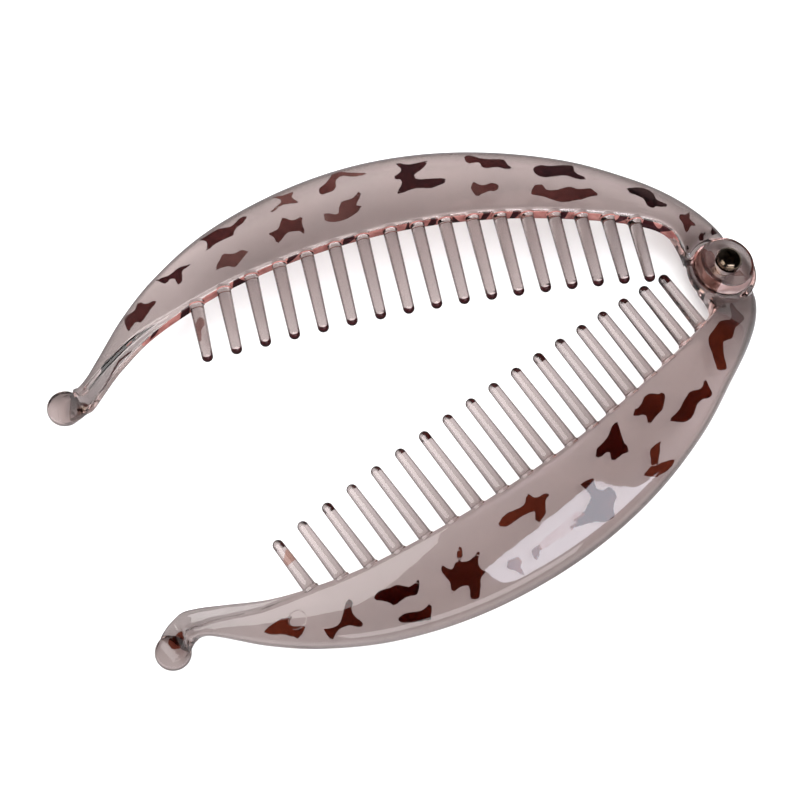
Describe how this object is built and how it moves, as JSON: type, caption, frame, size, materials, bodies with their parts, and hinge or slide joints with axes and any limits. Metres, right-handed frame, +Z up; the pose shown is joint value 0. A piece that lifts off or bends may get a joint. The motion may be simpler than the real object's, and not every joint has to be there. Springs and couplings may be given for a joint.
{
  "type": "banana hair clip",
  "caption": "Banana hair clip lying open: bowed comb arms of translucent spotted plastic with rounded teeth, joined by a screw hinge, with small round hook ends.",
  "frame": {"origin": "centre of the underside of the clip as it lies open, on the surface", "axes": "+X along the clip towards the hinge, +Y towards the comb with the front ear, +Z up"},
  "size_m": [0.1506, 0.103, 0.023],
  "materials": {
    "plastic": "translucent smoky grey, polished, with dark brown patches",
    "metal": "blackened, shiny"
  },
  "bodies": {
    "lower": {"lower_comb": "plastic", "hinge_screw": "metal"},
    "upper": {"upper_comb": "plastic"}
  },
  "joints": [
    {"name": "hinge", "type": "hinge", "parent": "lower", "child": "upper", "pos_m": [0.06757, 0, 0.00405], "axis": [0.2507, 0, 0.9681], "range_deg": [-60, 20]}
  ]
}
